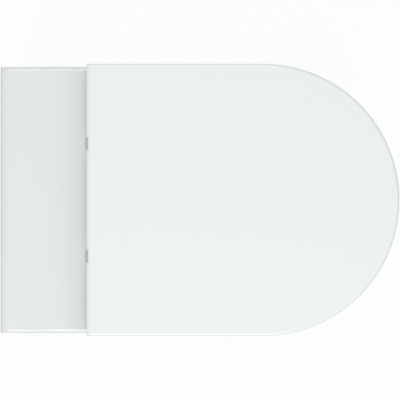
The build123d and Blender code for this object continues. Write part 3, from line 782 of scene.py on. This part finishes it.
def matt_finish(colours, name, colour, gloss_level, grain_scale):
    """Matt rubber or plastic with a spark eroded grain and a cloudy tone."""
    material, tree, shader = start_finish(name, IOR=1.48)
    colour = getattr(colours, colour)
    tone = use_group(tree, "tone", Colour=(*colour, 1), Second=darker(colour, 0.86), Scale=70.0, Amount=0.9)
    tree.links.new(tone.outputs["Colour"], shader.inputs["Base Color"])
    grain = use_group(tree, "grain", Scale=grain_scale)
    rough = math_node(tree, "MULTIPLY_ADD", grain.outputs["Mask"], 0.18, gloss_level)
    tree.links.new(rough, shader.inputs["Roughness"])
    add_bump(tree, shader, grain.outputs["Height"], 0.3, 0.06 * MM)
    return material


def finish(slot):
    """Give the material of one of the record's slots, made on its first use."""
    colours = bpy.context.scene.toilet_colours
    if slot not in FINISHES:
        if slot == "glaze":
            FINISHES[slot] = glaze_finish(colours)
        elif slot in CLEAN_FINISHES:
            FINISHES[slot] = clean_finish(colours, *CLEAN_FINISHES[slot])
        else:
            FINISHES[slot] = matt_finish(colours, slot, *MATT_FINISHES[slot])
    return FINISHES[slot]


class ToiletSizes(PropertyGroup):
    """Shape values that the solid model leaves to the looks."""

    lid_crown: FloatProperty(
        name="Lid crown",
        description="How far the lid's top falls from its middle to its edge",
        default=0.8 * MM,
        min=0.0,
        unit="LENGTH",
    )
    seat_dish: FloatProperty(
        name="Seat dish",
        description="How far the seat's top dips midway across the ring",
        default=0.9 * MM,
        min=0.0,
        unit="LENGTH",
    )


def colour_property(name, description, default):
    """Make one colour value of the panel."""
    return FloatVectorProperty(
        name=name, description=description, subtype="COLOR", size=3, min=0.0, max=1.0, default=default
    )


class ToiletColours(PropertyGroup):
    """Base colours of the finishes, in linear light."""

    glaze: colour_property("Glaze", "Sanitary glaze of the pan", (0.77, 0.805, 0.812))
    bare_clay: colour_property("Bare clay", "Fired clay without glaze", (0.7, 0.64, 0.55))
    seat: colour_property("Seat and lid", "Pressed resin", (0.82, 0.86, 0.862))
    cap: colour_property("Side caps", "Moulded caps of the side holes", (0.76, 0.8, 0.8))
    chrome: colour_property("Chrome", "Hinge feet, blocks and buttons", (0.5, 0.51, 0.525))
    steel: colour_property("Stainless steel", "Posts, pins, bolts and springs", (0.52, 0.51, 0.5))
    zinc: colour_property("Zinc plate", "Nuts and washers", (0.48, 0.5, 0.53))
    rubber: colour_property("Rubber", "Buffers, gaskets and inlet seal", (0.36, 0.37, 0.37))
    nylon: colour_property("Nylon", "Sleeves, plugs and bushes", (0.68, 0.68, 0.65))
    damper: colour_property("Dampers", "Dark plastic of the dampers", (0.045, 0.048, 0.052))


class ToiletStage(PropertyGroup):
    """Floor, lamps and camera."""

    floor_drop: FloatProperty(
        name="Rim above floor",
        description="Height of the pan's rim above the floor",
        default=0.4,
        unit="LENGTH",
    )
    view_width: FloatProperty(
        name="View width",
        description="Width that the camera sees at the height of the lid",
        default=0.5505,
        unit="LENGTH",
    )
    camera_height: FloatProperty(
        name="Camera height",
        description="Distance from the camera to the lid",
        default=12.0,
        unit="LENGTH",
    )
    world_level: FloatProperty(name="World level", description="Strength of the even light", default=0.52)
    left_power: FloatProperty(name="Left lamp", description="Power of the left lamp in watts", default=34.0)
    right_power: FloatProperty(
        name="Right lamp", description="Power of the right lamp in watts", default=22.0
    )
    near_power: FloatProperty(name="Near lamp", description="Power of the near lamp in watts", default=1.2)


class TOILET_OT_pan(Operator):
    """Dress the ceramic pan"""

    bl_idname = "toilet.pan"
    bl_label = "Ceramic pan"

    def execute(self, context):
        for node in ("pan_shell", "pan_bowl", "pan_web"):
            cuts = np.linspace(-STEP_FRONT, -STEP_REAR, 7)
            piece = smooth_copy(node, f"{node}_glazed", "pan", "glaze", cuts)
            lower_rear_deck(piece.data)
        return {"FINISHED"}


def lower_rear_deck(mesh):
    """Let the level top of the ware down behind the step of its deck, along a cubic in Y.

    With t growing from 0 at the step's front to 1 at its rear, the drop is STEP_DROP t^2 (3 - 2 t).
    """
    points = mesh_points(mesh)
    share = np.clip((points[:, 1] + STEP_FRONT) / (STEP_FRONT - STEP_REAR), 0, 1)
    level = points[:, 2] > RIM_Z - STEP_DROP / 4
    points[:, 2] -= level * STEP_DROP * share**2 * (3 - 2 * share)
    mesh.vertices.foreach_set("co", points.ravel())
    mesh.update()


class TOILET_OT_seat(Operator):
    """Make the seat ring with its two cranked lugs"""

    bl_idname = "toilet.seat"
    bl_label = "Seat"

    def execute(self, context):
        sizes = context.scene.toilet_sizes
        shells = [(seat_rings(sizes.seat_dish), "loop")]
        make_piece("seat_ring_moulded", shells, "seat", "seat_plastic", ("seat_ring",))
        top = SEAT_LOW.z + SEAT_THICKNESS
        arm = [
            (AXIS_Y - 2 * HUB_R, AXIS_Z + HUB_R / 2),
            (-SEAT_REAR - SEAT_THICKNESS, top - SEAT_UNDER_ROUND),
            (-SEAT_REAR - SEAT_THICKNESS, SEAT_LOW.z + SEAT_ROUND),
            (-SEAT_REAR, SEAT_LOW.z + SEAT_UNDER_ROUND),
            (AXIS_Y - 2 * HUB_R, AXIS_Z - HUB_R + 0.3 * MM),
        ]
        arm = softened(arm, [6 * MM, 0, 0, 3 * MM, 6 * MM])
        outline = np.concatenate([arm, hub_arc(-pi / 2, pi / 2, 33)])
        lugs = []
        for side in SIDES.values():
            start = side * (HINGE_X - BLOCK_HALF - LUG_GAP)
            lugs.append((lug_rings(outline, start, start - side * LUG_WIDTH), "faces"))
        make_piece("seat_lugs", lugs, "seat", "seat_plastic")
        return {"FINISHED"}


class TOILET_OT_lid(Operator):
    """Make the lid's shell, its two lugs and the bosses of its buffers"""

    bl_idname = "toilet.lid"
    bl_label = "Lid"

    def execute(self, context):
        sizes = context.scene.toilet_sizes
        make_piece("lid_shell", [(lid_rings(sizes.lid_crown), "poles")], "lid", "seat_plastic", ("lid",))
        ceiling = LID_HIGH.z - LID_SKIN / 2
        upright = [(AXIS_Y - HUB_R, ceiling), (AXIS_Y + HUB_R, ceiling)]
        outline = np.concatenate([hub_arc(-pi, 0, 33), np.array(upright)[::-1]])
        lugs = []
        for side in SIDES.values():
            start = side * (HINGE_X + BLOCK_HALF + LUG_GAP)
            lugs.append((lug_rings(outline, start, start + side * LUG_WIDTH), "faces"))
        make_piece("lid_lugs", lugs, "lid", "seat_plastic")
        bosses = []
        for low, high in buffer_boxes("lid_buffers"):
            foot = high.z - BUFFER_PEG_LENGTH
            profile = [(0, foot), (LID_BOSS_R, foot), (LID_BOSS_R, ceiling), (0, ceiling)]
            profile = softened(profile, [0, SOFT_EDGE, 0, 0])
            bosses.append((turned_rings(profile, upright_line(low, high)), "poles"))
        make_piece("lid_bosses", bosses, "lid", "seat_plastic")
        return {"FINISHED"}


def upright_line(low, high):
    """Give the foot, at Z 0, of the upright line through the middle of a box."""
    return (low.x + high.x) / 2, (low.y + high.y) / 2, 0


def buffer_boxes(node):
    """Give the corners of each separate solid of a node, told apart by the quarter that it lies in."""
    points = mesh_points(frame["nodes"][node].data)
    middle = (points.min(0) + points.max(0)) / 2
    quarter = (points[:, 0] > middle[0]) * 2 + (points[:, 1] > middle[1])
    groups = [points[quarter == index] for index in range(4)]
    return [(Vector(group.min(0)), Vector(group.max(0))) for group in groups]


class TOILET_OT_buffers(Operator):
    """Make the rubber buffers under the seat and the lid"""

    bl_idname = "toilet.buffers"
    bl_label = "Buffers"

    def execute(self, context):
        for node, body in (("seat_buffers", "seat"), ("lid_buffers", "lid")):
            pads = []
            for low, high in buffer_boxes(node):
                radius = (high.x - low.x) / 2
                base = high.z - BUFFER_PEG_LENGTH
                dimple = radius * BUFFER_DIMPLE_SHARE
                profile = [
                    (0, low.z + BUFFER_DIMPLE_DEPTH),
                    (dimple, low.z + BUFFER_DIMPLE_DEPTH),
                    (dimple + 0.8 * MM, low.z),
                    (radius, low.z),
                    (radius, base),
                    (BUFFER_PEG_R, base),
                    (BUFFER_PEG_R, high.z),
                    (0, high.z),
                ]
                profile = softened(profile, [0, 0.4 * MM, 0.3 * MM, 0.8 * MM, 0.3 * MM, 0, 0.6 * MM, 0])
                pads.append((turned_rings(profile, upright_line(low, high), 40), "poles"))
            make_piece(f"{node}_moulded", pads, body, "rubber", (node,))
        return {"FINISHED"}


class TOILET_OT_hinges(Operator):
    """Dress the hinge feet, posts, blocks, buttons, springs and pins"""

    bl_idname = "toilet.hinges"
    bl_label = "Hinges"

    def execute(self, context):
        for name in SIDES:
            smooth_copy(f"hinge_base_{name}", f"hinge_foot_{name}", "pan", "chrome")
            smooth_copy(f"hinge_bolt_{name}", f"foot_bolt_{name}", "pan", "stainless")
            smooth_copy(f"hinge_gasket_{name}", f"foot_gasket_{name}", "pan", "rubber")
            smooth_copy(f"hinge_block_{name}", f"hinge_body_{name}", "hinge_blocks", "chrome")
            self.make_post(name)
            self.make_button(name)
            self.make_spring(name)
            set_finish(frame["nodes"][f"hinge_pin_{name}"].data, "stainless")
        return {"FINISHED"}

    def make_post(self, name):
        """Turn the grooved post from its chamfered top down to the tenon."""
        low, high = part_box(f"hinge_post_{name}")
        radius = (high.x - low.x) / 2
        groove_r = radius - POST_GROOVE_DEPTH
        plate = low.z + POST_TENON_LENGTH
        groove_top = high.z - radius
        profile = [
            (0, high.z),
            (radius * 2 / 3, high.z),
            (radius, high.z - radius / 3),
            (radius, groove_top),
            (groove_r, groove_top),
            (groove_r, groove_top - POST_GROOVE_WIDTH),
            (radius, groove_top - POST_GROOVE_WIDTH),
            (radius, plate),
            (POST_TENON_R, plate),
            (POST_TENON_R, low.z),
            (0, low.z),
        ]
        profile = softened(profile, [0, 0.2 * MM, 0.2 * MM] + [0.1 * MM] * 4 + [0.0] * 4, 4)
        shells = [(turned_rings(profile, upright_line(low, high)), "poles")]
        make_piece(f"turned_post_{name}", shells, "pan", "stainless", (f"hinge_post_{name}",))

    def make_button(self, name):
        """Turn the release button, whose top dips for the finger along a quarter of a cosine wave."""
        low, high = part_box(f"release_button_{name}")
        radius = (high.x - low.x) / 2
        share = np.linspace(0, 1, 9)
        dish_r = radius * BUTTON_DISH_SHARE
        dish = np.stack([share * dish_r, high.z - BUTTON_DISH_DEPTH * np.cos(share * pi / 2)], -1)
        side = [(dish_r, high.z), (radius, high.z), (radius, low.z), (0, low.z)]
        side = softened(side, [0, BUTTON_ROUND, 0, 0])
        rings = turned_rings(np.concatenate([dish, side[1:]]), upright_line(low, high))
        shells = [(rings, "poles")]
        make_piece(f"push_button_{name}", shells, f"button_{name}", "chrome", (f"release_button_{name}",))

    def make_spring(self, name):
        """Wind the spring under the button."""
        low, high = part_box(f"release_spring_{name}")
        radius = (high.x - low.x - SPRING_WIRE) / 2
        centre = upright_line(low, high)[:2]
        rings = spring_rings(centre, low.z, high.z, radius, SPRING_WIRE, SPRING_COILS)
        shells, replaced = [(rings, "faces")], (f"release_spring_{name}",)
        piece = make_piece(f"wound_spring_{name}", shells, "hinge_blocks", "stainless", replaced)
        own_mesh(piece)


class TOILET_OT_fixings(Operator):
    """Dress the wall fixings, side caps, plugs, sleeves and the inlet seal"""

    bl_idname = "toilet.fixings"
    bl_label = "Fixings and seals"

    def execute(self, context):
        slots = {item["node"]: item["material_slot"] for item in frame["record"]["subparts"]}
        kept = ["seat_damper", "seat_bush", "lid_damper", "lid_bush"]
        for name, side in SIDES.items():
            self.make_cap(name, side)
            smooth_copy(f"fixing_sleeve_{name}", f"stud_sleeve_{name}", "pan", "nylon")
            kept += [f"fixing_washer_{name}", f"fixing_nut_{name}", f"expansion_plug_{name}"]
        for node in kept:
            set_finish(frame["nodes"][node].data, slots[node])
        self.make_seal()
        return {"FINISHED"}

    def make_cap(self, name, side):
        """Turn the side cap: a slightly domed face over a hollow plug."""
        low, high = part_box(f"access_cap_{name}")
        centre = (0, (low.y + high.y) / 2, (low.z + high.z) / 2)
        radius = (high.y - low.y) / 2
        face, plug_end = (high.x, low.x) if side > 0 else (-low.x, -high.x)
        plug, hollow = radius - CAP_RIM, radius - CAP_RIM - CAP_SKIN
        flat, edge = radius * CAP_DOME_SHARE, face - CAP_DOME
        share = np.linspace(0, 1, 9)
        dome = np.stack([share * flat, face - CAP_DOME * share**2], -1)
        rest = [
            (flat, edge),
            (radius, edge),
            (radius, face - CAP_SKIN),
            (plug, face - CAP_SKIN),
            (plug, plug_end),
            (hollow, plug_end),
            (hollow, face - CAP_SKIN),
            (0, face - CAP_SKIN),
        ]
        rest = softened(rest, [0, 0.7 * MM, 0.2 * MM, 0, 0.4 * MM, 0.4 * MM, 0, 0], 5)
        profile = np.concatenate([dome, rest[1:]]) * [1, side]
        shells = [(turned_rings(profile, centre, 64, "x"), "poles")]
        make_piece(f"side_cap_{name}", shells, "pan", "cap_plastic", (f"access_cap_{name}",))

    def make_seal(self):
        """Turn the flush seal: a flanged sleeve whose bore is hollowed in waves that leave soft lips."""
        low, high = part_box("flush_inlet_seal")
        centre = ((low.x + high.x) / 2, 0, (low.z + high.z) / 2)
        flange = (high.x - low.x) / 2
        sleeve = flange - SEAL_FLANGE
        run = np.linspace(0, 1, 46)
        hollows = SEAL_BORE_R + SEAL_WAVE * np.abs(np.sin(1.5 * pi * run)) ** 0.5 * (run < 1)
        inner = np.stack([hollows, low.y + (high.y - low.y) * run], -1)
        outer = [
            (SEAL_BORE_R, high.y),
            (flange, high.y),
            (flange, high.y - SEAL_FLANGE),
            (sleeve, high.y - SEAL_FLANGE),
            (sleeve, low.y),
            (SEAL_BORE_R, low.y),
        ]
        outer = softened(outer, [0, 1 * MM, 0.3 * MM, 0, 0.6 * MM, 0], 5)
        profile = np.concatenate([inner, outer[1:-1]])
        shells = [(turned_rings(profile, centre, 96, "y"), "loop")]
        make_piece("inlet_seal_moulded", shells, "pan", "rubber", ("flush_inlet_seal",))


def floor_finish():
    """Pale floor that is white to the camera and in reflections, and still takes the shadow."""
    material, tree, shader = start_finish("pale_floor", Roughness=0.9)
    grain = add_node(tree, "ShaderNodeTexNoise", Vector=object_place(tree), Scale=3.0, Detail=4.0)
    mix = add_node(tree, "ShaderNodeMix", {"data_type": "RGBA"})
    tree.links.new(grain.outputs["Fac"], mix.inputs["Factor"])
    mix.inputs[6].default_value = (0.86, 0.86, 0.86, 1)
    mix.inputs[7].default_value = (0.84, 0.84, 0.84, 1)
    tree.links.new(mix.outputs[2], shader.inputs["Base Color"])
    rays = tree.nodes.new("ShaderNodeLightPath").outputs
    seen = math_node(tree, "MAXIMUM", rays["Is Camera Ray"], rays["Is Glossy Ray"])
    seen = math_node(tree, "MAXIMUM", seen, rays["Is Transmission Ray"])
    share = math_node(tree, "MULTIPLY", seen, 0.94)
    white = add_node(tree, "ShaderNodeEmission", Color=(1, 1, 1, 1), Strength=1.0)
    blend = tree.nodes.new("ShaderNodeMixShader")
    tree.links.new(share, blend.inputs[0])
    tree.links.new(shader.outputs["BSDF"], blend.inputs[1])
    tree.links.new(white.outputs["Emission"], blend.inputs[2])
    tree.links.new(blend.outputs["Shader"], tree.nodes["Material Output"].inputs["Surface"])
    return material


def aim(thing, target):
    """Turn a lamp or camera so that it looks at a point."""
    thing.rotation_euler = (Vector(target) - thing.location).to_track_quat("-Z", "Y").to_euler()


def add_lamp(name, place, target, width, power):
    """Add a square soft lamp that looks at a point."""
    lamp = bpy.data.lights.new(name, "AREA")
    lamp.shape = "SQUARE"
    lamp.size = width
    lamp.energy = power
    thing = bpy.data.objects.new(name, lamp)
    thing.location = place
    aim(thing, target)
    bpy.context.scene.collection.objects.link(thing)


class TOILET_OT_stage(Operator):
    """Set the floor, the soft lamps, the world and the camera"""

    bl_idname = "toilet.stage"
    bl_label = "Stage"

    def execute(self, context):
        stage = context.scene.toilet_stage
        half = 12.0
        level = RIM_Z - stage.floor_drop
        mesh = bpy.data.meshes.new("floor")
        corners = [(-half, -half, level), (half, -half, level), (half, half, level), (-half, half, level)]
        mesh.from_pydata(corners, [], [(0, 1, 2, 3)])
        mesh.materials.append(floor_finish())
        floor = bpy.data.objects.new("floor", mesh)
        context.scene.collection.objects.link(floor)
        target = (0, (LID_LOW.y + LID_HIGH.y) / 2, RIM_Z)
        for name, (place, width) in LAMPS.items():
            add_lamp(f"{name}_lamp", place, target, width, getattr(stage, f"{name}_power"))
        self.set_world(context.scene, stage.world_level)
        self.set_camera(context.scene, stage)
        context.scene.view_settings.view_transform = "Standard"
        return {"FINISHED"}

    def set_world(self, scene, level):
        """Light the part evenly, and show plain white to the camera and in reflections."""
        world = bpy.data.worlds.new("soft_room")
        world.use_nodes = True
        tree = world.node_tree
        background = tree.nodes["Background"]
        background.inputs["Color"].default_value = (1, 1, 1, 1)
        rays = tree.nodes.new("ShaderNodeLightPath").outputs
        seen = math_node(tree, "MAXIMUM", rays["Is Camera Ray"], rays["Is Glossy Ray"])
        seen = math_node(tree, "MAXIMUM", seen, rays["Is Transmission Ray"])
        strength = math_node(tree, "MULTIPLY_ADD", seen, 1 - level, level)
        tree.links.new(strength, background.inputs["Strength"])
        scene.world = world

    def set_camera(self, scene, stage):
        """Look straight down with a long lens: the front of the pan points to the right of the view."""
        camera = bpy.data.cameras.new("camera")
        camera.lens = camera.sensor_width * stage.camera_height / stage.view_width
        camera.clip_end = 100
        thing = bpy.data.objects.new("camera", camera)
        middle_y = -(stage.view_width + 0.5 * MM) / 2
        thing.location = (0, middle_y, LID_HIGH.z + stage.camera_height)
        thing.rotation_euler = Matrix(((0, 1, 0), (-1, 0, 0), (0, 0, 1))).to_euler()
        scene.collection.objects.link(thing)
        scene.camera = thing


class TOILET_PT_panel(Panel):
    """Lists the values and the steps in the sidebar"""

    bl_idname = "TOILET_PT_panel"
    bl_label = "Wall hung toilet"
    bl_space_type = "VIEW_3D"
    bl_region_type = "UI"
    bl_category = "Toilet"

    def draw(self, context):
        for group in (
            context.scene.toilet_sizes,
            context.scene.toilet_colours,
            context.scene.toilet_stage,
        ):
            box = self.layout.box()
            for key in group.__annotations__:
                box.prop(group, key)
        for step in STEPS:
            self.layout.operator(step.bl_idname)


STEPS = (
    TOILET_OT_pan,
    TOILET_OT_seat,
    TOILET_OT_lid,
    TOILET_OT_buffers,
    TOILET_OT_hinges,
    TOILET_OT_fixings,
    TOILET_OT_stage,
)
GROUP_TYPES = {
    "toilet_sizes": ToiletSizes,
    "toilet_colours": ToiletColours,
    "toilet_stage": ToiletStage,
}


def register():
    for name, group in GROUP_TYPES.items():
        bpy.utils.register_class(group)
        setattr(bpy.types.Scene, name, PointerProperty(type=group))
    for step in (*STEPS, TOILET_PT_panel):
        bpy.utils.register_class(step)


def unregister():
    for step in reversed((*STEPS, TOILET_PT_panel)):
        bpy.utils.unregister_class(step)
    for name, group in GROUP_TYPES.items():
        delattr(bpy.types.Scene, name)
        bpy.utils.unregister_class(group)


def main():
    """Build the looks step by step."""
    register()
    for step in (
        bpy.ops.toilet.pan,
        bpy.ops.toilet.seat,
        bpy.ops.toilet.lid,
        bpy.ops.toilet.buffers,
        bpy.ops.toilet.hinges,
        bpy.ops.toilet.fixings,
        bpy.ops.toilet.stage,
    ):
        step()


if __name__ == "__main__":
    main()
